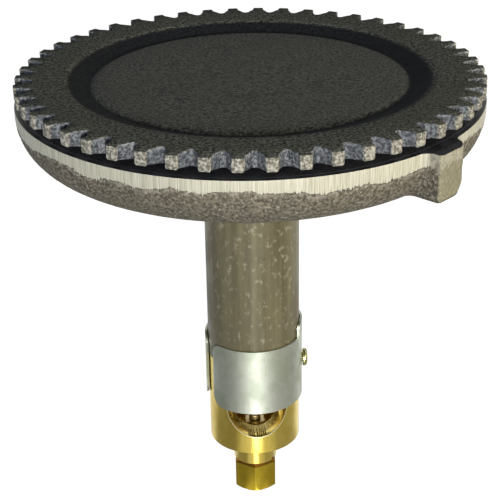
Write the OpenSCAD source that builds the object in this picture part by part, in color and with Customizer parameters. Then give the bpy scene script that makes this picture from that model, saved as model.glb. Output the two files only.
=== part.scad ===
// Atmospheric gas burner: a slotted cast iron cap resting on a cast iron bowl,
// a pipe as mixing tube, and a brass mixer with a sliding air shutter.
// Origin on the axis at the gas inlet's end face, +Z up, air window along Y.
// Azimuths are in degrees from -Y towards +X.

/* [Cap] */
// Number of teeth, and of gas ports between them
teeth = 50; // [40:1:56]
// Azimuth of the first tooth
tooth_turn = 0.5; // [-3.6:0.1:3.6]
// Thickness of the toothed plate at its outer edge
tooth_h = 4.5; // [4:0.1:6]
// Extra thickness of the toothed plate at the back of the slots
tooth_rise = 0.9; // [0:0.1:1.2]
// Width of a slot at its mouth
slot_w = 5.8; // [4.5:0.1:6.2]
// Radial depth of a slot
slot_depth = 6.2; // [5:0.1:7]
// Radial length of the parallel part of a slot
slot_straight = 2.4; // [1.5:0.1:3]
// Radius of the rounded closed end of a slot
slot_tip_r = 1; // [0.8:0.1:1.4]
// Width of the flat ring from the tooth tips to the sunk centre
flat_w = 16.8; // [14:0.1:20]
// Width of the slope round the sunk centre
slope_w = 8; // [6:0.1:10]
// Depth of the groove round the plateau
groove_depth = 2.8; // [2:0.1:3.4]
// Depth of the plateau's edge below the cap's top
plateau_depth = 1.9; // [1.5:0.1:2.5]
// Depth of the plateau's middle below the cap's top
crown_depth = 1.4; // [1:0.1:2]
// Depth of the hollow underside below the cap's top
web_depth = 7; // [6.5:0.1:8]
// Depth of the spigot inside the bowl's mouth
cap_spigot_h = 3.5; // [2:0.1:5]
// Thickness of the spigot's wall
cap_spigot_w = 3.5; // [2.5:0.1:5]
// Width of a gas port under the cap
port_w = 3.4; // [2.5:0.1:4]

/* [Bowl] */
// Outer radius of the ground rim
rim_r = 79.1; // [76:0.1:84]
// Height of the rim's face above the inlet's end face
rim_z = 157.9; // [150:0.1:165]
// Width of the rim's face
rim_w = 14.9; // [13:0.1:17]
// Height of the straight band under the rim
band_h = 3.2; // [2:0.1:6]
// Radius of the rounded corner under the band
corner_r = 15.6; // [10:0.1:18]
// Slope of the underside
slope = 24.5; // [20:0.5:30]
// Wall thickness
wall = 5.5; // [4:0.1:7]
// Wall of the boss round the tube
boss_w = 5.8; // [4:0.1:8]
// Height of the boss
boss_h = 19.8; // [14:0.1:24]
// Height of the stop over the tube's end
boss_stop_h = 2.2; // [1.5:0.1:4]
// Azimuth of the lug
lug_turn = 43.2; // [30:0.1:60]
// Width of the lug
lug_w = 14.9; // [12:0.1:18]
// Reach of the lug beyond the rim
lug_reach = 5.3; // [3:0.1:8]
// Height of the lug
lug_h = 16; // [12:0.1:17]
// Radius of the lug's rounded corners, on the side away from the first one
lug_corner_r = 5.4; // [3:0.1:7]

/* [Tube] */
// Outer diameter of the mixing tube, one inch nominal pipe
tube_d = 33.4; // [33.4:0.1:42.2]
// Wall thickness of the mixing tube
tube_wall = 3.38; // [2.8:0.01:3.6]

/* [Mixer] */
// Length of the neck
neck_h = 10.6; // [8:0.1:14]
// Radius of the neck
neck_r = 8; // [7.8:0.1:8.4]
// Height of the mixer from its lower face to the tube's end
mixer_h = 35.3; // [33:0.1:38]
// Radius of the mixing bore
bore_r = 8.4; // [8:0.1:9]
// Thickness of the mixer's floor
floor_t = 2.5; // [2:0.1:4]
// Diameter of the air window
window_d = 21.7; // [19:0.1:22.5]
// Height of the air window's axis over the mixer's lower face
window_up = 17.8; // [16.5:0.1:18.2]
// Length of the spigot inside the tube
spigot_h = 12; // [8:0.1:16]

/* [Inlet] */
// Width across the flats of the inlet hexagon
hex_af = 15; // [14.4:0.1:16]
// Height of the hexagon
hex_h = 12.4; // [11:0.1:14]
// Azimuth of the hexagon's front edge, as it is screwed home
hex_turn = -4; // [-30:0.5:30]
// Height of the chamfer under the neck
hex_chamfer = 1.5; // [0.8:0.1:2]
// Radius of the inlet's threaded hole
inlet_r = 4.3; // [4.1:0.1:4.4]
// Depth of the inlet's threaded hole
inlet_depth = 9.5; // [8:0.1:10]
// Radius of the stem screwed into the neck
stem_r = 4.95; // [4.7:0.01:5.2]
// Length of the stem
stem_h = 8.8; // [7:0.1:9]
// Radius of the gas passage through the stem
passage_r = 2; // [1.5:0.1:2.4]

/* [Gas jet] */
// Radius of the jet's thread
jet_thread_r = 2.95; // [2.8:0.01:3.2]
// Width across the flats of the jet's hexagon
jet_af = 7.2; // [6.5:0.1:8]
// Height of the jet's hexagon
jet_hex_h = 2.2; // [1.8:0.1:3]
// Radius of the jet's nose
jet_nose_r = 2.2; // [1.8:0.1:2.6]
// Height of the jet's nose
jet_nose_h = 2.6; // [2:0.1:4]
// Radius of the jet's opening
jet_hole_r = 0.6; // [0.4:0.05:0.9]

/* [Air shutter] */
// Height of the shutter's lower edge over the window's axis, as it is set
shutter_set = -0.2; // [-5:0.1:5]
// Width of the shutter's band
shutter_h = 25.6; // [24.5:0.1:26.5]
// Thickness of the shutter's sheet
shutter_t = 0.8; // [0.7:0.1:1]
// Azimuth of the middle of the shutter's opening
gap_turn = -70.5; // [-80:0.5:-60]
// Width of the shutter's opening
gap_w = 5.9; // [4:0.1:9]
// Radius at the corners of the shutter's opening
gap_corner_r = 4.5; // [3:0.1:5]
// Azimuth of the tab, its slot and the screw
tab_turn = 86; // [80:0.5:92]
// Width of the tab
tab_w = 13; // [10:0.1:15]
// Height of the tab over its slot
tab_margin = 4.4; // [2.5:0.1:5.5]
// Radius at the tab's upper corners
tab_corner_r = 2.5; // [2:0.1:4]
// Height of the sheet left under the slot
slot_margin = 2.4; // [1.8:0.1:4]

/* [Screw] */
// Height of the screw's axis over the mixer's lower face
screw_up = 31.2; // [30.5:0.1:32]
// Radius of the screw's thread
screw_r = 1.75; // [1.7:0.01:1.8]
// Radius of the screw's head
screw_head_r = 3.3; // [3:0.1:3.5]
// Height of the screw's head
screw_head_h = 1.8; // [1.6:0.1:2.2]
// Width of the screw's driver slot
driver_w = 1; // [0.8:0.1:1.2]
// Depth of the screw's driver slot
driver_depth = 0.9; // [0.7:0.1:1.1]

/* [Hidden] */
$fn = 96;
eps = 0.01;

// clearances of the fits
slide_clear = 0.3;
thread_clear = 0.05;
fit_clear = 0.07;
spigot_clear = 0.4;
turn_clear = 0.05;
cap_inset = 0.1;
cap_gap = 2.3;
port_inset = 3.3;
slot_side_clear = 0.25;
slot_end_clear = 0.35;
head_clear = 0.2;
corner_cross = 0.08;

// the cap follows the bowl's rim
cap_r = rim_r - cap_inset;
cap_z = rim_z + cap_gap + tooth_h;
plate_h = tooth_h + tooth_rise;
slot_end_r = cap_r - slot_depth;
seat_r = slot_end_r - port_inset;
sunk_r = cap_r - flat_w;
foot_r = sunk_r - slope_w;
mouth_r = rim_r - rim_w;
cap_spigot_r = mouth_r - spigot_clear;

// the heights follow each other up from the inlet's end face
mixer_z = hex_h + neck_h;
floor_z = mixer_z + floor_t;
window_z = mixer_z + window_up;
screw_z = mixer_z + screw_up;
tube_z = mixer_z + mixer_h;
shutter_z = window_z + shutter_set;

// the bowl's outer profile and the boss that takes the tube
tube_r = tube_d / 2;
tube_in_r = tube_r - tube_wall;
boss_r = tube_r + boss_w;
corner_x = rim_r - corner_r;
corner_z = rim_z - band_h;
cone_x = corner_x + corner_r * sin(slope);
cone_z = corner_z - corner_r * cos(slope);
boss_z = cone_z - (cone_x - boss_r) * tan(slope);
tube_end_z = boss_z + boss_h - boss_stop_h;
wall_rise = wall / cos(slope);
lug_out = rim_r + lug_reach;

// the mixer is turned a little under the tube's size, and the shutter clears both
mixer_r = tube_r - turn_clear;
mixer_spigot_r = tube_in_r - fit_clear;
stem_hole_r = stem_r + thread_clear;
shutter_in_r = tube_r + slide_clear;
shutter_out_r = shutter_in_r + shutter_t;

// the slot lets the shutter close the window, and rise as far as the sheet under the slot allows
travel_down = shutter_z - (window_z - window_d / 2);
slide_slot_w = 2 * (screw_r + slot_side_clear);
slide_top_z = screw_z + screw_r + travel_down + slot_end_clear;
slide_low_z = shutter_z + slot_margin;
tab_h = slide_top_z + tab_margin - shutter_z - shutter_h;

// turns the +X direction to an azimuth
module at(azimuth) {
    rotate([0, 0, azimuth - 90]) children();
}

// extrudes a shape outwards along X, its own x across and its y up
module outward(from, to) {
    translate([from, 0, 0]) rotate([90, 0, 90]) linear_extrude(to - from) children();
}

// a rectangle with one rounded corner at its far end
module one_round(low, high, r) {
    w = high[0] - low[0];
    h = high[1] - low[1];
    translate(low) square([w - r, h]);
    translate(low) square([w, h - r]);
    translate([high[0] - r, high[1] - r]) circle(r);
}

// height of the bowl's underside, or of its inner face, at a radius
function under(r, lift = 0) = cone_z + lift - (cone_x - r) * tan(slope);

module cap_section() {
    spigot_z = rim_z - cap_spigot_h;
    spigot_in_r = cap_spigot_r - cap_spigot_w;
    web_z = cap_z - web_depth;
    polygon([
        [0, cap_z - crown_depth],
        [foot_r * 0.6, cap_z - crown_depth - 0.1],
        [foot_r - 3.2, cap_z - plateau_depth],
        [foot_r - 2, cap_z - plateau_depth - 0.25],
        [foot_r - 1.2, cap_z - groove_depth + 0.2],
        [foot_r - 0.6, cap_z - groove_depth],
        [foot_r, cap_z - groove_depth],
        [sunk_r, cap_z],
        [cap_r, cap_z],
        [cap_r, cap_z - tooth_h],
        [slot_end_r, cap_z - plate_h],
        [seat_r, cap_z - plate_h],
        [seat_r, rim_z],
        [cap_spigot_r, rim_z],
        [cap_spigot_r, spigot_z],
        [spigot_in_r, spigot_z],
        [spigot_in_r - 1, web_z - 0.8],
        [spigot_in_r - 3.5, web_z],
        [0, web_z]
    ]);
}

// the plan of one slot between two teeth
module tooth_slot() {
    tip_x = slot_end_r + slot_tip_r;
    bend_x = cap_r - slot_straight;
    polygon([
        [cap_r + 2, slot_w / 2],
        [bend_x, slot_w / 2],
        [tip_x, slot_tip_r],
        [tip_x, -slot_tip_r],
        [bend_x, -slot_w / 2],
        [cap_r + 2, -slot_w / 2]
    ]);
    translate([tip_x, 0]) circle(slot_tip_r);
}

module burner_cap() {
    pitch = 360 / teeth;
    port_z = rim_z - cap_spigot_h - 0.5;
    port_r = cap_spigot_r - cap_spigot_w - 4;
    color("dimgray") difference() {
        rotate_extrude() cap_section();
        for (i = [0:teeth - 1]) at(tooth_turn + (i + 0.5) * pitch) {
            translate([0, 0, cap_z - plate_h - 1]) linear_extrude(plate_h + 2) tooth_slot();
            translate([port_r, -port_w / 2, port_z])
                cube([seat_r - port_r + 1, port_w, cap_z - plate_h - port_z]);
        }
    }
}

module bowl_section() {
    difference() {
        union() {
            polygon([
                [0, rim_z],
                [rim_r, rim_z],
                [rim_r, corner_z],
                [corner_x, corner_z],
                [cone_x, cone_z],
                [boss_r, boss_z],
                [0, boss_z]
            ]);
            intersection() {
                translate([corner_x, corner_z]) circle(corner_r);
                translate([corner_x, corner_z - corner_r]) square([corner_r, corner_r]);
            }
        }
        polygon([
            [boss_r, rim_z + 1],
            [mouth_r, rim_z + 1],
            [mouth_r, under(mouth_r, wall_rise) + 3],
            [mouth_r - 3, under(mouth_r - 3, wall_rise)],
            [boss_r + 2, under(boss_r + 2, wall_rise)],
            [boss_r, under(boss_r, wall_rise) + 2]
        ]);
        translate([0, boss_z + boss_h]) square([boss_r + 1, rim_z - boss_z]);
        translate([0, boss_z - 1]) square([tube_r + thread_clear, tube_end_z - boss_z + 1]);
        square([tube_in_r, rim_z]);
    }
}

module lug() {
    in_r = mouth_r + 2;
    half = lug_w / 2;
    low_z = rim_z - lug_h;
    intersection() {
        outward(in_r, lug_out + 1) mirror([0, 1, 0])
            one_round([-half, -rim_z], [half, -low_z], lug_corner_r);
        translate([0, 0, low_z]) linear_extrude(lug_h)
            one_round([in_r, -half], [lug_out, half], lug_corner_r);
    }
}

module burner_bowl() {
    color("gray") union() {
        rotate_extrude() bowl_section();
        at(lug_turn) lug();
    }
}

module mixing_tube() {
    color("darkkhaki") translate([0, 0, tube_z]) difference() {
        cylinder(h = tube_end_z - tube_z, r = tube_r);
        translate([0, 0, -1]) cylinder(h = tube_end_z - tube_z + 2, r = tube_in_r);
    }
}

module mixer_body() {
    r = mixer_r;
    spigot_r = mixer_spigot_r;
    top_z = tube_z + spigot_h;
    jet_hole = jet_thread_r + thread_clear;
    color("gold") difference() {
        rotate_extrude() polygon([
            [0, hex_h],
            [neck_r, hex_h],
            [neck_r, mixer_z],
            [r, mixer_z],
            [r, tube_z],
            [spigot_r, tube_z],
            [spigot_r, top_z - 0.5],
            [spigot_r - 0.5, top_z],
            [0, top_z]
        ]);
        translate([0, 0, floor_z]) cylinder(h = top_z, r = bore_r);
        translate([0, 0, tube_z]) cylinder(h = spigot_h + eps, r1 = bore_r, r2 = spigot_r - 1.5);
        translate([0, 0, window_z]) rotate([90, 0, 0])
            cylinder(h = 2 * r + 2, r = window_d / 2, center = true);
        translate([0, 0, hex_h - 1]) cylinder(h = stem_h + 1.3, r = stem_hole_r);
        translate([0, 0, hex_h]) cylinder(h = floor_z - hex_h + 1, r = jet_hole);
        at(tab_turn) translate([0, 0, screw_z]) rotate([0, 90, 0])
            cylinder(h = r + 1, r = screw_r + thread_clear);
    }
}

module inlet_fitting() {
    corner = hex_af / 2 / cos(30);
    flat_r = hex_af / 2 + 0.1;
    color("darkgoldenrod") difference() {
        union() {
            intersection() {
                rotate([0, 0, hex_turn + 30]) cylinder(h = hex_h, r = corner, $fn = 6);
                rotate_extrude() polygon([
                    [0, 0],
                    [flat_r, 0],
                    [corner + 0.2, 0.8],
                    [corner + 0.2, hex_h - hex_chamfer],
                    [flat_r, hex_h],
                    [0, hex_h]
                ]);
            }
            translate([0, 0, hex_h - 1]) cylinder(h = stem_h + 1, r = stem_r);
        }
        translate([0, 0, -1]) cylinder(h = inlet_depth + 1, r = inlet_r);
        cylinder(h = hex_h + stem_h + 1, r = passage_r);
    }
}

module gas_jet() {
    thread_h = floor_t + 1;
    bevel = 0.6;
    shoulder_z = floor_z + jet_hex_h;
    top_z = shoulder_z + jet_nose_h;
    color("khaki") difference() {
        union() {
            translate([0, 0, floor_z - thread_h]) cylinder(h = thread_h + 0.1, r = jet_thread_r);
            translate([0, 0, floor_z]) rotate([0, 0, 30])
                cylinder(h = jet_hex_h, r = jet_af / 2 / cos(30), $fn = 6);
            translate([0, 0, shoulder_z - 0.1]) cylinder(h = jet_nose_h + 0.1 - bevel, r = jet_nose_r);
            translate([0, 0, top_z - bevel])
                cylinder(h = bevel, r1 = jet_nose_r, r2 = jet_nose_r - bevel);
        }
        translate([0, 0, floor_z - thread_h - 1])
            cylinder(h = thread_h + jet_hex_h + 1, r = jet_nose_r - 0.8);
        translate([0, 0, floor_z]) cylinder(h = top_z, r = jet_hole_r);
    }
}

// the outline of the tab, reaching down into the band
module tab_outline() {
    half = tab_w / 2;
    top = shutter_h + tab_h;
    translate([-half, 0]) square([tab_w, top - tab_corner_r]);
    translate([tab_corner_r - half, 0]) square([tab_w - 2 * tab_corner_r, top]);
    for (side = [-1, 1])
        translate([side * (half - tab_corner_r), top - tab_corner_r]) circle(tab_corner_r);
}

// the outline of the sheet's end, with its two rounded corners
module sheet_end() {
    half = gap_w / 2;
    r = gap_corner_r;
    translate([half + r, -2]) square([r, shutter_h + 4]);
    translate([half, r]) square([r, shutter_h - 2 * r]);
    for (z = [r - corner_cross, shutter_h - r + corner_cross])
        translate([half + r, z]) circle(r);
}

// what the sheet leaves open between its two ends
module shutter_gap() {
    reach = gap_w / 2 + gap_corner_r + 1;
    difference() {
        translate([-reach, -1]) square([2 * reach, shutter_h + 2]);
        sheet_end();
        mirror([1, 0]) sheet_end();
    }
}

// the long hole that the screw passes through
module slide_slot() {
    r = slide_slot_w / 2;
    translate([-r, slide_low_z + r]) square([slide_slot_w, slide_top_z - slide_low_z - 2 * r]);
    translate([0, slide_low_z + r]) circle(r);
    translate([0, slide_top_z - r]) circle(r);
}

module air_shutter() {
    reach = shutter_out_r + 1;
    color("silver") difference() {
        translate([0, 0, shutter_z]) difference() {
            cylinder(h = shutter_h + tab_h, r = shutter_out_r);
            translate([0, 0, -1]) cylinder(h = shutter_h + tab_h + 2, r = shutter_in_r);
            difference() {
                translate([0, 0, shutter_h]) cylinder(h = tab_h + 1, r = reach);
                at(tab_turn) outward(0, reach + 1) tab_outline();
            }
            at(gap_turn) outward(shutter_in_r / 2, reach) shutter_gap();
        }
        at(tab_turn) outward(shutter_in_r / 2, reach) slide_slot();
    }
}

module shutter_screw() {
    head_x = shutter_out_r + head_clear;
    tip_x = bore_r + 0.8;
    color("goldenrod") at(tab_turn) translate([0, 0, screw_z]) difference() {
        rotate([0, 90, 0]) {
            translate([0, 0, tip_x]) cylinder(h = head_x - tip_x + 0.5, r = screw_r);
            translate([0, 0, head_x]) rotate_extrude() polygon([
                [0, 0],
                [screw_head_r - 0.3, 0],
                [screw_head_r, 0.3],
                [screw_head_r, screw_head_h * 0.5],
                [screw_head_r * 0.85, screw_head_h * 0.85],
                [screw_head_r * 0.5, screw_head_h],
                [0, screw_head_h]
            ]);
        }
        translate([head_x + screw_head_h - driver_depth, -driver_w / 2, -screw_head_r - 1])
            cube([2, driver_w, 2 * screw_head_r + 2]);
    }
}

burner_cap();
burner_bowl();
mixing_tube();
mixer_body();
inlet_fitting();
gas_jet();
air_shutter();
shutter_screw();
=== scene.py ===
import math

import bmesh
import bpy
from mathutils import Matrix, Vector, noise


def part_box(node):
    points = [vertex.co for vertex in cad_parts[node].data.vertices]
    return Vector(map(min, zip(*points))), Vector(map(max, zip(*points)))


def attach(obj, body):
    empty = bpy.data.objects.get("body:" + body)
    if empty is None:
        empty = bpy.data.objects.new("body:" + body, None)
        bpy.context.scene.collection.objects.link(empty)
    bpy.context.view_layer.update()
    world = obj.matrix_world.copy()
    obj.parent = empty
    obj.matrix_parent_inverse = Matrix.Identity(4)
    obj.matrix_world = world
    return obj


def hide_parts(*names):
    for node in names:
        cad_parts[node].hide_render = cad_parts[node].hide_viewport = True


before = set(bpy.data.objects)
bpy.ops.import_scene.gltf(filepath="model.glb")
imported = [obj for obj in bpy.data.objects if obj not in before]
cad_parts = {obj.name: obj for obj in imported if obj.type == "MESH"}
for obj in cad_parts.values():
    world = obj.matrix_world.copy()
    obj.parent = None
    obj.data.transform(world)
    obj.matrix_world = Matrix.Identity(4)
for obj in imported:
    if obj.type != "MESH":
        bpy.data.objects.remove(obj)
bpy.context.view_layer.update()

# The inlet fitting. A hexagon of drawn brass with a stem that is screwed up
# into the mixer's neck. Its foot is bored and threaded for the gas pipe, and
# its brass is the darkest, because it is the piece that is gripped and wiped.
MM = 0.001


class Wire:
    """What runs from one shader node to the next."""

    def __init__(self, finish, socket):
        self.finish = finish
        self.socket = socket

    def __add__(self, other):
        return self.finish.maths("ADD", self, other)

    def __sub__(self, other):
        return self.finish.maths("SUBTRACT", self, other)

    def __mul__(self, other):
        return self.finish.maths("MULTIPLY", self, other)

    def __rsub__(self, other):
        return self.finish.maths("SUBTRACT", other, self)

    __radd__ = __add__
    __rmul__ = __mul__


class Finish:
    """The material of one piece, with its surface ready to be fed."""

    def __init__(self, name, owner=None):
        self.owner = owner or bpy.data.materials.new(name)
        self.owner.use_nodes = True
        self.tree = self.owner.node_tree
        if owner is None:
            self.surface = self.tree.nodes["Principled BSDF"]

    def add(self, kind, settings=None, sockets=None, out=0):
        node = self.tree.nodes.new(kind)
        for name, value in (settings or {}).items():
            if name == "stops":
                stops = node.color_ramp.elements
                for place, _ in value[2:]:
                    stops.new(place)
                for stop, (place, colour) in zip(stops, value):
                    stop.position = place
                    stop.color = (*colour, 1)
            else:
                setattr(node, name, value)
        for name, value in (sockets or {}).items():
            self.feed(node.inputs[name], value)
        return Wire(self, node.outputs[out])

    def feed(self, socket, value):
        if isinstance(value, Wire):
            self.tree.links.new(value.socket, socket)
        elif socket.type == "RGBA" and len(value) == 3:
            socket.default_value = (*value, 1)
        else:
            socket.default_value = value

    def maths(self, operation, first, second, clamp=False):
        settings = {"operation": operation, "use_clamp": clamp}
        return self.add("ShaderNodeMath", settings, {0: first, 1: second})

    def mix(self, share, first, second):
        sockets = {"Factor": share, 6: first, 7: second}
        return self.add("ShaderNodeMix", {"data_type": "RGBA"}, sockets, out=2)

    def place(self, stretch=(1, 1, 1)):
        spot = self.add("ShaderNodeTexCoord", out=3)
        return self.add("ShaderNodeMapping", sockets={"Vector": spot, "Scale": stretch})

    def grain(self, scale, stretch=(1, 1, 1), detail=3.0, rough=0.55):
        return self.add("ShaderNodeTexNoise", sockets={
            "Vector": self.place(stretch), "Scale": scale, "Detail": detail, "Roughness": rough})

    def between(self, value, low, high):
        return self.add("ShaderNodeMapRange", {"interpolation_type": "SMOOTHSTEP"}, {
            "Value": value, "From Min": low, "From Max": high})

    def height(self):
        spot = self.add("ShaderNodeTexCoord", out=3)
        return self.add("ShaderNodeSeparateXYZ", sockets={"Vector": spot}, out=2)

    def axis_distance(self):
        spot = self.add("ShaderNodeTexCoord", out=3)
        flat = self.add("ShaderNodeVectorMath", {"operation": "MULTIPLY"}, {0: spot, 1: (1, 1, 0)})
        return self.add("ShaderNodeVectorMath", {"operation": "LENGTH"}, {0: flat}, out="Value")

    def facing_up(self):
        side = self.add("ShaderNodeNewGeometry", out="Normal")
        return self.add("ShaderNodeSeparateXYZ", sockets={"Vector": side}, out=2)

    def bump(self, depth, height, under=None):
        sockets = {"Strength": 1.0, "Distance": depth, "Height": height}
        if under:
            sockets["Normal"] = under
        return self.add("ShaderNodeBump", sockets=sockets)

    def wear(self, **values):
        for name, value in values.items():
            self.feed(self.surface.inputs[name.replace("_", " ")], value)


def brass(name, bright, dull, rough, window=None, neck_reflection=None):
    """Bare brass with tool rings, dulled in patches, with a painted highlight round a drilled window and a
    painted reflection as a dark band at one height.
    """
    finish = Finish(name)
    patches = finish.between(finish.grain(130, (1, 1, 0.6)), 0.42, 0.66)
    specks = finish.between(finish.grain(1500), 0.62, 0.75)
    rings = finish.grain(60, (1, 1, 90), detail=2.0)
    streaks = finish.grain(900, (1, 1, 0.05), detail=2.0)
    colour = finish.mix(patches * 0.75, bright, dull)
    colour = finish.mix(specks * 0.35, colour, (0.25, 0.16, 0.04))
    edge = 0.0
    # Painted highlight: a thin pale ring on the outer skin round the drilled window, where a broken edge
    # would catch the light.
    if window:
        spot = finish.add("ShaderNodeTexCoord", out=3)
        off = finish.add("ShaderNodeVectorMath", {"operation": "SUBTRACT"}, {0: spot, 1: (0, 0, window[0])})
        flat = finish.add("ShaderNodeVectorMath", {"operation": "MULTIPLY"}, {0: off, 1: (1, 0, 1)})
        away = finish.add("ShaderNodeVectorMath", {"operation": "LENGTH"}, {0: flat}, out="Value")
        outside = finish.between(finish.axis_distance(), 0.0161, 0.0164)
        edge = outside * (1 - finish.between(away, window[1] + 0.00025, window[1] + 0.00045))
        colour = finish.mix(edge, colour, (0.92, 0.84, 0.48))
    # Painted reflection: a dark red-brown band at one height stands for the neck reflected in the hexagon's
    # top chamfer.
    if neck_reflection:
        height = finish.height() + streaks * 0.0006
        band = finish.between(height, neck_reflection[0], neck_reflection[0] + 0.0004)
        band = band * (1 - finish.between(height, neck_reflection[1], neck_reflection[1] + 0.0006))
        colour = finish.mix(band * 0.85, colour, (0.22, 0.075, 0.012))
    finish.wear(
        Base_Color=colour, Metallic=1.0,
        Roughness=patches * 0.12 + streaks * 0.10 + rough + edge * 0.22,
        Normal=finish.bump(0.00002, rings, finish.bump(0.00002, streaks)))
    return finish.owner


def from_frame(node, body, material, bevel, sharp=35):
    """A piece with the frame's own shape, its triangles merged and its edges broken."""
    mesh = bmesh.new()
    mesh.from_mesh(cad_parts[node].data)
    bmesh.ops.remove_doubles(mesh, verts=mesh.verts, dist=0.002 * MM)
    bmesh.ops.dissolve_limit(mesh, angle_limit=math.radians(0.5), verts=mesh.verts, edges=mesh.edges)
    piece = finished(node + "_shown", mesh, body, node, material, sharp)
    if bevel:
        edge = piece.modifiers.new("broken_edges", "BEVEL")
        edge.width = bevel * MM
        edge.segments = 2
        edge.limit_method = "ANGLE"
        edge.angle_limit = math.radians(sharp)
        edge.harden_normals = True
    return piece


def finished(name, mesh, body, node, material, sharp=35):
    """Turns a mesh into a piece that rides on its body and stands for its node."""
    data = bpy.data.meshes.new(name)
    mesh.to_mesh(data)
    mesh.free()
    data.polygons.foreach_set("use_smooth", [True] * len(data.polygons))
    data.set_sharp_from_angle(angle=math.radians(sharp))
    data.materials.append(material)
    piece = bpy.data.objects.new(name, data)
    bpy.context.scene.collection.objects.link(piece)
    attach(piece, body)
    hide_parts(node)
    return piece


# The dark band at 11 to 12.5 mm on the hexagon is a painted reflection of the neck.
from_frame("inlet_fitting", "burner",
           brass("dark_brass", (0.66, 0.49, 0.045), (0.38, 0.27, 0.02), 0.22, neck_reflection=(0.0110, 0.0125)), 0.35)

# The gas jet. A small brass nozzle with a spanner's hexagon, standing on the
# mixer's floor. It is seen through the air window, in its shade.
from_frame("gas_jet", "burner",
           brass("jet_brass", (0.85, 0.72, 0.42), (0.50, 0.36, 0.14), 0.25), 0.1)

# The mixer. Brass bar turned to the tube's width, bored from above and drilled
# across for the air window. A thin pale ring is painted round the drilled hole as a highlight.
from_frame("mixer_body", "burner",
           brass("turned_brass", (0.86, 0.66, 0.15), (0.66, 0.48, 0.08), 0.13,
                 window=(0.0408, 0.01085)), 0.0)

# The air shutter. A strip of plated sheet steel rolled round the mixer, with a
# tab that carries the slot for the screw. Sliding it has left fine scratches.
def plated_sheet():
    finish = Finish("plated_sheet")
    patches = finish.between(finish.grain(110, (1, 1, 0.8), detail=4.0), 0.40, 0.62)
    scratches = finish.between(finish.grain(700, (1, 1, 0.06), detail=2.0), 0.6, 0.72)
    specks = finish.between(finish.grain(900), 0.66, 0.76)
    colour = finish.mix(patches, (0.60, 0.63, 0.535), (0.44, 0.475, 0.385))
    colour = finish.mix(scratches * 0.2 + specks * 0.4, colour, (0.34, 0.36, 0.28))
    finish.wear(Base_Color=colour, Metallic=1.0,
                Roughness=patches * 0.08 + scratches * 0.12 + 0.40,
                Normal=finish.bump(0.00002, scratches, finish.bump(0.00012, finish.grain(60, detail=1.0))))
    return finish.owner


from_frame("air_shutter", "shutter", plated_sheet(), 0.14)

# The clamping screw. A pan head machine screw, steel with yellow zinc on it.
def yellow_zinc():
    finish = Finish("yellow_zinc")
    patches = finish.between(finish.grain(500), 0.4, 0.65)
    finish.wear(Base_Color=finish.mix(patches, (0.60, 0.60, 0.33), (0.38, 0.37, 0.14)), Metallic=1.0,
                Roughness=patches * 0.15 + 0.22, Normal=finish.bump(0.00002, patches))
    return finish.owner


from_frame("shutter_screw", "burner", yellow_zinc(), 0.08, sharp=25)

# The mixing tube. Bare steel pipe, sawn at both ends, with the brown skin it
# was drawn with, rubbed lighter where the burner is held.
def pipe_skin():
    finish = Finish("pipe_skin")
    streaks = finish.grain(420, (1, 1, 0.035), detail=3.0)
    wide = finish.between(finish.grain(120, (1, 1, 0.12), detail=2.0), 0.35, 0.65)
    patches = finish.between(finish.grain(75), 0.42, 0.62)
    specks = finish.between(finish.grain(620, (1, 1, 0.7), detail=3.0), 0.56, 0.70)
    dark = finish.between(finish.grain(950), 0.62, 0.74)
    colour = finish.mix(finish.between(streaks, 0.3, 0.7), (0.085, 0.071, 0.036), (0.155, 0.137, 0.078))
    colour = finish.mix(wide * 0.35, colour, (0.18, 0.17, 0.10))
    colour = finish.mix(patches * 0.25, colour, (0.10, 0.085, 0.062))
    colour = finish.mix(specks * 0.55, colour, (0.34, 0.31, 0.24))
    colour = finish.mix(dark * 0.4, colour, (0.055, 0.045, 0.03))
    finish.wear(Base_Color=colour, Metallic=0.0, Specular_IOR_Level=0.4,
                Roughness=patches * 0.12 + specks * 0.1 + 0.38,
                Normal=finish.bump(0.00006, streaks, finish.bump(0.00010, dark)))
    return finish.owner


def ringed(rings):
    """Faces drawn from one closed ring of points to the next, all with as many points."""
    mesh = bmesh.new()
    points = [mesh.verts.new(point) for point in rings[0]]
    edges = [mesh.edges.new(pair) for pair in zip(points, points[1:] + points[:1])]
    for ring in rings[1:]:
        order = {tuple(point.co): k for k, point in enumerate(points)}
        made = bmesh.ops.extrude_edge_only(mesh, edges=edges)["geom"]
        fresh = [item for item in made if isinstance(item, bmesh.types.BMVert)]
        points = sorted(fresh, key=lambda point: order[tuple(point.co)])
        known = set(fresh)
        edges = [item for item in made if isinstance(item, bmesh.types.BMEdge)
                 and item.verts[0] in known and item.verts[1] in known]
        for point, spot in zip(points, ring):
            point.co = spot
    return mesh


def closed(mesh):
    """Merges what meets, scales to metres and turns every face outwards."""
    bmesh.ops.remove_doubles(mesh, verts=mesh.verts, dist=0.0005)
    bmesh.ops.scale(mesh, verts=mesh.verts, vec=(MM, MM, MM))
    bmesh.ops.recalc_face_normals(mesh, faces=mesh.faces)
    return mesh


def turned(outline, columns):
    """Rings round the axis, one for each (radius, height) of a closed outline."""
    turns = [2 * math.pi * k / columns for k in range(columns)]
    whole = outline + outline[:1]
    return ringed([[(r * math.sin(a), -r * math.cos(a), z) for a in turns] for r, z in whole])


TUBE_R = 16.7
TUBE_IN_R = 13.32
TUBE_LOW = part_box("mixing_tube")[0].z / MM
TUBE_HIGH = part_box("mixing_tube")[1].z / MM
tube_side = [(TUBE_R, TUBE_LOW + 0.3 + k * (TUBE_HIGH - TUBE_LOW - 0.6) / 12) for k in range(13)]
tube_outline = [(TUBE_IN_R, TUBE_HIGH), (TUBE_IN_R, TUBE_LOW), (TUBE_R - 0.3, TUBE_LOW)]
finished("mixing_tube_shown", closed(turned(tube_outline + tube_side + [(TUBE_R - 0.3, TUBE_HIGH)], 144)),
         "burner", "mixing_tube", pipe_skin())

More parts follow.
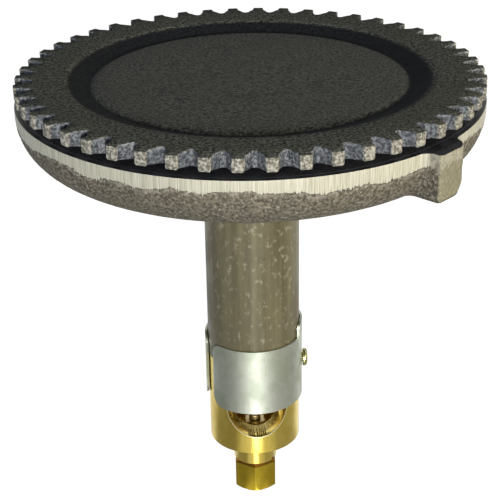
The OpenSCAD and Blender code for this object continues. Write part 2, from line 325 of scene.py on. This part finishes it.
# The bowl. Grey iron cast in sand, so its skin is rough and speckled. The rim
# is ground after casting, down to an uneven line, and one lug stands out of it
# with rounded roots. A boss below takes the tube.
RIM_R, RIM_Z, MOUTH_R = 79.1, 157.9, 64.2
BAND_H, CORNER_R, SLOPE = 3.2, 15.6, math.radians(24.5)
BOSS_R, BOSS_H, BORE_R = 22.5, 19.8, 16.75
LUG_TURN, LUG_W, LUG_OUT, LUG_H = 43.2, 14.9, 84.4, 16.0
LUG_ROOT_R, LUG_NEAR_R, LUG_FAR_R = 3.0, 1.2, 5.4
LUG_SPREAD = math.radians(9)
PLAIN_COLUMNS = 300


def arc(centre, radius, start, end, count):
    """Points on an arc, in degrees from the x direction."""
    turns = [math.radians(start + (end - start) * k / (count - 1)) for k in range(count)]
    return [(centre[0] + radius * math.cos(a), centre[1] + radius * math.sin(a)) for a in turns]


def lug_side(root_r, reach, half, corner_r):
    """One half of the lug's plan, from the bowl's round to the middle of its face."""
    fillet_y = half + LUG_ROOT_R
    fillet_x = math.sqrt((root_r + LUG_ROOT_R) ** 2 - fillet_y ** 2)
    foot = math.degrees(math.atan2(fillet_y, fillet_x))
    edge = math.degrees(LUG_SPREAD)
    points = arc((0, 0), root_r, edge, foot, 4)
    points += arc((fillet_x, fillet_y), LUG_ROOT_R, 180 + foot, 270, 7)[1:]
    flank = reach - corner_r - fillet_x
    points += [(fillet_x + flank * k / 4, half) for k in (1, 2, 3)]
    points += arc((reach - corner_r, half - corner_r), corner_r, 90, 0, 7)
    points += [(reach, (half - corner_r) * k / 3) for k in (2, 1, 0)]
    return points


def lug_plan(root_r, z):
    """The bowl's outline across the lug, at one height."""
    low = RIM_Z - LUG_H
    rise = max(z - low, 0)
    shrink = max(1.2 - rise, 0) ** 2 * 0.7
    top = min(RIM_Z - z, 0.4)
    shrink += (0.4 - top) * 0.5
    lift = max(LUG_FAR_R - rise, 0)
    far_cut = LUG_FAR_R - math.sqrt(max(LUG_FAR_R ** 2 - lift ** 2, 0))
    half = LUG_W / 2 - shrink
    reach = LUG_OUT - shrink
    near = lug_side(root_r, reach, half, LUG_NEAR_R)
    far = lug_side(root_r, reach, max(half - far_cut * 0.9, LUG_FAR_R + 0.3), LUG_FAR_R)
    return [(x, -y) for x, y in near] + far[-2::-1]


LUG_COLUMNS = len(lug_plan(75, 150))


def cast(x, y, z, depth, scale=0.55):
    """How far the sand has let the skin sink at a point."""
    coarse = noise.noise(Vector((x, y, z)) * scale)
    broad = noise.noise(Vector((x, y, z)) * 0.09)
    return depth * (0.5 + 0.35 * coarse + 0.15 * broad)


def bowl_ring(r, z, rough):
    low = RIM_Z - LUG_H
    if r > 70 and z > low:
        plan = lug_plan(r, z)
    else:
        plan = [(r * math.cos(a), r * math.sin(a)) for a in
                (LUG_SPREAD * (2 * k / (LUG_COLUMNS - 1) - 1) for k in range(LUG_COLUMNS))]
    rest = 2 * math.pi - 2 * LUG_SPREAD
    plain = [LUG_SPREAD + rest * (k + 1) / (PLAIN_COLUMNS + 1) for k in range(PLAIN_COLUMNS)]
    plan += [(r * math.cos(a), r * math.sin(a)) for a in plain]
    turn = math.radians(LUG_TURN - 90)
    ring = []
    for x, y in plan:
        sunk = 1 - cast(x, y, z, rough) / max(math.hypot(x, y), 1)
        x, y = x * sunk, y * sunk
        ring.append((x * math.cos(turn) - y * math.sin(turn), x * math.sin(turn) + y * math.cos(turn), z))
    return ring


def bowl_rows():
    corner_x, corner_z = RIM_R - CORNER_R, RIM_Z - BAND_H
    cone_x = corner_x + CORNER_R * math.sin(SLOPE)
    cone_z = corner_z - CORNER_R * math.cos(SLOPE)
    boss_z = cone_z - (cone_x - BOSS_R) * math.tan(SLOPE)
    inner = 5.5 / math.cos(SLOPE)

    def under(r, lift=0.0):
        return cone_z + lift - (cone_x - r) * math.tan(SLOPE)

    rows = [(13.32, boss_z + BOSS_H, 0), (BOSS_R, boss_z + BOSS_H, 0), (BOSS_R, under(BOSS_R, inner) + 2, 0),
            (BOSS_R + 2, under(BOSS_R + 2, inner), 0), (MOUTH_R - 3, under(MOUTH_R - 3, inner), 0),
            (MOUTH_R, under(MOUTH_R, inner) + 3, 0), (MOUTH_R, RIM_Z, 0), (RIM_R - 0.35, RIM_Z, 0),
            (RIM_R - 0.1, RIM_Z - 0.1, 0), (RIM_R, RIM_Z - 0.35, 0)]
    rows += [(RIM_R, RIM_Z - 0.35 - 0.95 * k, 0) for k in (1, 2, 3)]
    low = RIM_Z - LUG_H
    for k in range(1, 25):
        turn = math.radians(90) - (math.radians(90) - SLOPE) * k / 24
        r = corner_x + CORNER_R * math.sin(turn)
        z = corner_z - CORNER_R * math.cos(turn)
        if rows[-1][1] > low >= z:
            share = (rows[-1][1] - low) / (rows[-1][1] - z)
            edge_r = rows[-1][0] + (r - rows[-1][0]) * share
            rows += [(edge_r, low + extra, 0.3) for extra in (0.9, 0.35, 0.05)]
            rows.append((edge_r - 0.05, low - 0.02, 0.3))
            rows = [row for row in rows if row[1] > low + 1.2 or row[1] <= low + 0.9]
        rows.append((r, z, 0.3 if k > 4 else 0.08))
    for k in range(1, 36):
        rows.append((cone_x + (BOSS_R - cone_x) * k / 36, cone_z + (boss_z - cone_z) * k / 36, 0.35))
    rows += [(BOSS_R, boss_z + 0.05, 0), (BOSS_R - 0.6, boss_z, 0), (BORE_R, boss_z, 0)]
    rows += [(BORE_R, boss_z + BOSS_H - 2.2, 0), (13.32, boss_z + BOSS_H - 2.2, 0)]
    rows.append((13.32, boss_z + BOSS_H, 0))
    return rows


def cast_iron_bowl():
    finish = Finish("cast_bowl")
    height = finish.height()
    away = finish.axis_distance()
    wobble = finish.grain(38, detail=4.0)
    fine = finish.grain(900, detail=2.0)
    scratch = finish.grain(2600, (1, 1, 0.03), detail=2.0)
    edge = height + wobble * 0.012 + scratch * 0.0022 + fine * 0.0012
    ground = finish.between(edge, 0.1604, 0.1609) * finish.between(away, 0.0768, 0.0774)
    ground = ground * (1 - finish.between(away, 0.0798, 0.0812) * 0.7)
    blush = finish.between(edge, 0.1589, 0.1604) * finish.between(finish.grain(520), 0.46, 0.56)
    sand = finish.between(finish.grain(950, detail=3.0), 0.36, 0.64)
    pits = finish.between(finish.grain(1150, detail=2.0), 0.56, 0.70)
    mottle = finish.between(finish.grain(55), 0.38, 0.64)
    skin = finish.mix(sand, (0.060, 0.052, 0.040), (0.225, 0.20, 0.155))
    skin = finish.mix(mottle * 0.35, skin, (0.135, 0.125, 0.085))
    skin = finish.mix(pits * 0.55, skin, (0.46, 0.43, 0.37))
    # Painted light: beyond 83.3 mm from the axis, the lug's outer end is painted lighter and yellower, as
    # the warm lamp on that side lights it.
    skin = finish.mix(finish.between(away, 0.0833, 0.0841) * 0.6, skin, (0.34, 0.315, 0.21))
    skin = finish.mix(blush * 0.65, skin, (0.42, 0.38, 0.32))
    bright = finish.mix(finish.between(scratch, 0.30, 0.70), (0.40, 0.385, 0.30), (0.60, 0.585, 0.49))
    # Painted shade: the upward faces above 157 mm, the rim's top and the lug's top, are painted near black,
    # as the teeth above shade them.
    top = finish.between(finish.facing_up(), 0.6, 0.8) * finish.between(height, 0.1570, 0.1575)
    colour = finish.mix(top, finish.mix(ground, skin, bright), (0.012, 0.012, 0.016))
    waves = finish.bump(0.0006, wobble * (1 - ground))
    finish.wear(
        Base_Color=colour, Metallic=0.0, Specular_IOR_Level=0.3,
        Roughness=0.72 - ground * 0.28 - pits * 0.1,
        Normal=finish.bump(0.00025, sand * (1 - ground) + scratch * 0.12, waves))
    return finish.owner


finished("burner_bowl_shown", closed(ringed([bowl_ring(*row) for row in bowl_rows()])),
         "burner", "burner_bowl", cast_iron_bowl(), sharp=42)

# The cap. A cast iron disc that rests on the bowl, with fifty teeth round its
# edge as the sand left them, a gas port under each gap, and a sunk middle that
# has gone smooth and a little dark with handling. Shade is painted into the
# colour: near black in the sunk ring and underneath, darker on tops and slot walls.
CAP_Z, CAP_R = 164.7, 79.0
TEETH, TOOTH_TURN, TOOTH_H, TOOTH_RISE = 50, 0.5, 4.5, 0.9
GAP_END_R, GAP_TIP_R, GAP_HALF, BEND_R = 72.8, 1.0, 2.9, 76.6
SUNK_R, FOOT_R, SEAT_R, SPIGOT_R = 62.2, 54.2, 69.5, 63.8


def half_gap():
    """Half of the plan of a gap, from its closed end out to the tooth's corner."""
    points = arc((GAP_END_R + GAP_TIP_R, 0), GAP_TIP_R, 180, 105, 4)
    points += [(75.3, 1.9), (76.35, 2.68), (77.1, GAP_HALF), (77.8, GAP_HALF)]
    points += [(78.4, GAP_HALF + 0.05), (78.75, GAP_HALF + 0.2), (CAP_R - 0.02, GAP_HALF + 0.65)]
    return points


HALF_GAP = half_gap()
IN_SECTOR = 2 * len(HALF_GAP)


def tooth_ring():
    """The whole toothed outline, each tooth a little unlike its neighbours."""
    pitch = 2 * math.pi / TEETH
    ring = []
    for tooth in range(TEETH):
        middle = math.radians(TOOTH_TURN) + tooth * pitch
        short = 0.28 * abs(noise.noise(Vector((tooth * 1.7, 3.1, 0))))
        lean = 0.22 * noise.noise(Vector((tooth * 2.3, 8.8, 0)))
        sector = []
        for side, points in ((-1, HALF_GAP), (1, HALF_GAP[:0:-1])):
            gap = middle + side * pitch / 2
            away, across = Vector((math.sin(gap), -math.cos(gap))), Vector((math.cos(gap), math.sin(gap)))
            for x, y in points:
                share = max((x - GAP_END_R) / (CAP_R - GAP_END_R), 0)
                sector.append(away * (x - short * share) + across * (-side * y + lean * share))
            if side < 0:
                sector.append(Vector((math.sin(middle), -math.cos(middle))) * (CAP_R - short))
        ring += sector
    return ring


TOOTHED = tooth_ring()


def inset(outline, depth):
    """The outline drawn in by a depth, square to its own line."""
    count = len(outline)
    moved = []
    for k, point in enumerate(outline):
        along = (outline[(k + 1) % count] - outline[k - 1]).normalized()
        moved.append(point - Vector((along.y, -along.x)) * depth)
    return moved


def edge_ring(depth, drop, rough):
    """The toothed outline at one depth below the top, rough as cast."""
    ring = []
    for point in inset(TOOTHED, depth):
        thick = TOOTH_H + TOOTH_RISE * (CAP_R - point.length) / (CAP_R - GAP_END_R)
        z = CAP_Z - drop * thick
        point = point * (1 - cast(point.x, point.y, z, rough, 0.9) / point.length)
        ring.append((point.x, point.y, z))
    return ring


def round_ring(r, z, port_z=None):
    """A plain ring, lifted over the gas ports where port_z is given."""
    pitch = 2 * math.pi / TEETH
    count = TEETH * IN_SECTOR
    start = math.radians(TOOTH_TURN) - pitch / 2
    ring = []
    for k in range(count):
        from_gap = (k / IN_SECTOR + 0.5) % 1 - 0.5
        a = start + k * 2 * math.pi / count
        over_port = port_z is not None and abs(from_gap) * pitch * SEAT_R < 1.8
        ring.append((r * math.sin(a), -r * math.cos(a), port_z if over_port else z))
    return ring


def cap_rings():
    plate_z = CAP_Z - TOOTH_H - TOOTH_RISE
    web_z = CAP_Z - 7
    top = [(0.4, 1.4), (10, 1.4), (20, 1.42), (32, 1.48), (44, 1.75), (FOOT_R - 3.6, 1.88),
           (FOOT_R - 2.8, 1.95), (FOOT_R - 2, 2.15), (FOOT_R - 1.3, 2.5), (FOOT_R - 0.7, 2.76),
           (FOOT_R - 0.1, 2.8), (FOOT_R + 0.5, 2.62), (SUNK_R - 1.2, 0.42), (SUNK_R - 0.5, 0.17),
           (SUNK_R + 0.3, 0.03), (SUNK_R + 1.2, 0), (67, 0), (71.6, 0)]
    rings = [round_ring(r, CAP_Z - drop) for r, drop in top]
    rings += [edge_ring(0.42, 0.0, 0.0), edge_ring(0.16, 0.022, 0.05), edge_ring(0.0, 0.09, 0.10)]
    rings += [edge_ring(0.02, 0.36, 0.22), edge_ring(0.05, 0.64, 0.22), edge_ring(0.10, 0.9, 0.15)]
    rings += [edge_ring(0.4, 1.0, 0.05)]
    rings += [round_ring(SEAT_R, plate_z), round_ring(SEAT_R - 0.05, RIM_Z, plate_z)]
    rings += [round_ring(SPIGOT_R, RIM_Z, plate_z), round_ring(SPIGOT_R - 0.05, RIM_Z - 3.5, plate_z)]
    rings.append(round_ring(SPIGOT_R - 3.5, RIM_Z - 3.5, plate_z))
    rings.append(round_ring(SPIGOT_R - 4.5, web_z - 0.8, plate_z))
    rings.append(round_ring(56.9, web_z, plate_z))
    rings += [round_ring(r, web_z) for r in (56.3, 30, 0.4)]
    return rings


def cast_iron_cap():
    finish = Finish("cast_cap")
    away = finish.axis_distance()
    height = finish.height()
    sand = finish.between(finish.grain(1050, detail=3.0), 0.36, 0.64)
    fine = finish.grain(1600, detail=2.0)
    mottle = finish.between(finish.grain(48, detail=4.0), 0.36, 0.66)
    pits = finish.between(finish.grain(1000, detail=2.0), 0.60, 0.72)
    # The upward faces get a darker colour than the sides: partly the iron's own darker top skin, partly
    # painted shade, as the low lamp leaves the top dim.
    flat = finish.between(finish.facing_up(), 0.55, 0.85)
    middle = 1 - finish.between(away, 0.0525, 0.0555)
    smooth = finish.mix(sand, (0.016, 0.018, 0.016), (0.215, 0.225, 0.200))
    smooth = finish.mix(mottle * 0.35, smooth, (0.10, 0.10, 0.082))
    smooth = finish.mix(middle * 0.3, smooth, (0.085, 0.092, 0.09))
    # Painted shade: the sloping ring of the sunk middle, 52.8 to 62 mm from the axis, is painted near black
    # as the shadow in the recess, and its pits are left out.
    recess_shade = finish.between(away, 0.0528, 0.0540) * (1 - finish.between(away, 0.0600, 0.0620))
    smooth = finish.mix(recess_shade * 0.9, smooth, (0.008, 0.009, 0.014))
    smooth = finish.mix(pits * 0.5 * (1 - recess_shade), smooth, (0.32, 0.32, 0.29))
    tip = finish.between(away, 0.0776, 0.0783)
    # Painted shade: the slot walls are painted darker and bluer than the tooth tips, as shade and the cool
    # lamp colour them.
    wall_grain_and_cool_shade = finish.mix(sand, (0.075, 0.082, 0.095), (0.27, 0.285, 0.31))
    raw = finish.mix(tip, wall_grain_and_cool_shade, finish.mix(sand, (0.15, 0.14, 0.12), (0.50, 0.48, 0.42)))
    raw = finish.mix(pits * 0.5, raw, (0.60, 0.59, 0.55))
    # Painted shade: below 158.5 mm the cap is painted dark, where it sits inside the bowl's rim under the
    # teeth.
    under = 1 - finish.between(height, 0.1585, 0.1592)
    colour = finish.mix(under * 0.7, finish.mix(flat, raw, smooth), (0.05, 0.045, 0.04))
    finish.wear(
        Base_Color=colour, Metallic=0.0, Specular_IOR_Level=0.02,
        Roughness=0.66 - middle * 0.10 + sand * 0.08,
        Normal=finish.bump(0.00028, sand * (1 - flat * 0.72) + fine * 0.15,
                           finish.bump(0.0005, mottle * 0.5)))
    return finish.owner


cap = ringed(cap_rings())
bmesh.ops.holes_fill(cap, edges=[edge for edge in cap.edges if edge.is_boundary], sides=0)
finished("burner_cap_shown", closed(cap), "burner", "burner_cap", cast_iron_cap(), sharp=40)

# The floor and the light round it. The floor is white to the camera. In metal it
# glows with a painted reflection set by direction round the object: bright in
# front of the lamp and behind the object, dim at both sides.
scene = bpy.context.scene
scene.view_settings.view_transform = "Standard"


def floor_of_the_studio():
    mesh = bmesh.new()
    bmesh.ops.create_grid(mesh, x_segments=1, y_segments=1, size=4.0)
    data = bpy.data.meshes.new("floor")
    mesh.to_mesh(data)
    mesh.free()
    finish = Finish("floor")
    spot = finish.add("ShaderNodeTexCoord", out=3)
    x = finish.add("ShaderNodeSeparateXYZ", sockets={"Vector": spot}, out=0)
    y = finish.add("ShaderNodeSeparateXYZ", sockets={"Vector": spot}, out=1)
    turn = finish.maths("ARCTAN2", x, 0 - y) * (0.5 / math.pi) + 0.5
    # Painted reflection: the glow that metal shows from each direction, up to 3.2 in the narrow band in
    # front, where it gives the brass its painted highlight.
    greys = ((0.0, 0.9), (0.16, 0.85), (0.22, 0.20), (0.37, 0.16), (0.405, 0.5), (0.47, 0.66), (0.487, 3.2),
             (0.513, 3.2), (0.53, 0.66), (0.595, 0.5), (0.63, 0.24), (0.77, 0.30), (0.84, 0.85), (1.0, 0.9))
    stops = [(at, (grey, grey, grey)) for at, grey in greys]
    painted_reflection_glow = finish.add("ShaderNodeValToRGB", {"stops": stops}, {"Fac": turn})
    seen = finish.add("ShaderNodeLightPath", out="Is Camera Ray")
    mirrored = finish.add("ShaderNodeLightPath", out="Is Glossy Ray")
    glow = finish.mix(seen, finish.mix(mirrored, (0, 0, 0), painted_reflection_glow), (1, 1, 1))
    finish.wear(Base_Color=(0.2, 0.2, 0.2), Roughness=1.0, Specular_IOR_Level=0.0,
                Emission_Color=glow, Emission_Strength=1.0)
    data.materials.append(finish.owner)
    floor = bpy.data.objects.new("floor", data)
    scene.collection.objects.link(floor)


floor_of_the_studio()


def light_of_the_room():
    world = bpy.data.worlds.new("studio")
    scene.world = world
    finish = Finish("studio", owner=world)
    finish.tree.nodes.clear()
    out = finish.tree.nodes.new("ShaderNodeOutputWorld")
    way = finish.add("ShaderNodeTexCoord", out=0)
    back = finish.add("ShaderNodeSeparateXYZ", sockets={"Vector": way}, out=1)
    behind = finish.between(back, -0.25, 0.35)
    seen = finish.add("ShaderNodeLightPath", out="Is Camera Ray")
    mirrored = finish.add("ShaderNodeLightPath", out="Is Glossy Ray")
    strength = finish.maths("MAXIMUM", seen, mirrored * (behind * 0.8 + 0.06) + 0.035)
    grey = finish.mix(strength, (0, 0, 0), (1, 1, 1))
    glow = finish.add("ShaderNodeBackground", sockets={"Color": grey, "Strength": 1.0})
    finish.feed(out.inputs["Surface"], glow)


light_of_the_room()


def lamp(name, azimuth, rise, size, power, colour):
    data = bpy.data.lights.new(name, "AREA")
    data.shape = "SQUARE"
    data.size = size
    data.energy = power
    data.color = colour
    piece = bpy.data.objects.new(name, data)
    a, e = math.radians(azimuth), math.radians(rise)
    place = Vector((math.sin(a) * math.cos(e), -math.cos(a) * math.cos(e), math.sin(e))) * 1.2
    piece.location = place + Vector((0, 0, 0.13))
    piece.rotation_euler = (-place).to_track_quat("-Z", "Y").to_euler()
    scene.collection.objects.link(piece)


lamp("key_lamp", 0, 9, 0.16, 13.0, (1.0, 0.99, 0.95))
lamp("warm_lamp", 56, 13, 0.35, 7.5, (1.0, 0.94, 0.74))
lamp("cool_lamp", -60, 14, 0.4, 2.2, (0.70, 0.84, 1.0))


# The camera of the photograph, worked out from the burner's round edges: half
# a metre off, 25 degrees above the cap, leaning a little to one side.
def camera_of_the_photograph():
    yaw, pitch, roll = -0.013, math.radians(25.49), math.radians(-1.2)
    focal_px, centre_x, centre_y, frame_px = 1387.0, 235.95, 250.83, 500.0
    ahead = Vector((math.sin(yaw) * math.cos(pitch), math.cos(yaw) * math.cos(pitch), -math.sin(pitch)))
    right = Vector((math.cos(yaw), -math.sin(yaw), 0.0))
    up = right.cross(ahead)
    across = math.cos(roll) * right + math.sin(roll) * up
    upright = math.cos(roll) * up - math.sin(roll) * right
    spin = Matrix.Rotation(math.radians(-4.0), 3, "Z")
    axes = Matrix((spin @ across, spin @ upright, spin @ -ahead)).transposed()
    data = bpy.data.cameras.new("studio_camera")
    data.sensor_width = 36.0
    data.lens = focal_px / frame_px * data.sensor_width
    data.shift_x = (frame_px / 2 - centre_x) / frame_px
    data.shift_y = (centre_y - frame_px / 2) / frame_px
    data.clip_start = 0.01
    camera = bpy.data.objects.new("studio_camera", data)
    camera.matrix_world = Matrix.Translation(spin @ Vector((0.0, -0.4469, 0.3111))) @ axes.to_4x4()
    scene.collection.objects.link(camera)
    scene.camera = camera


camera_of_the_photograph()
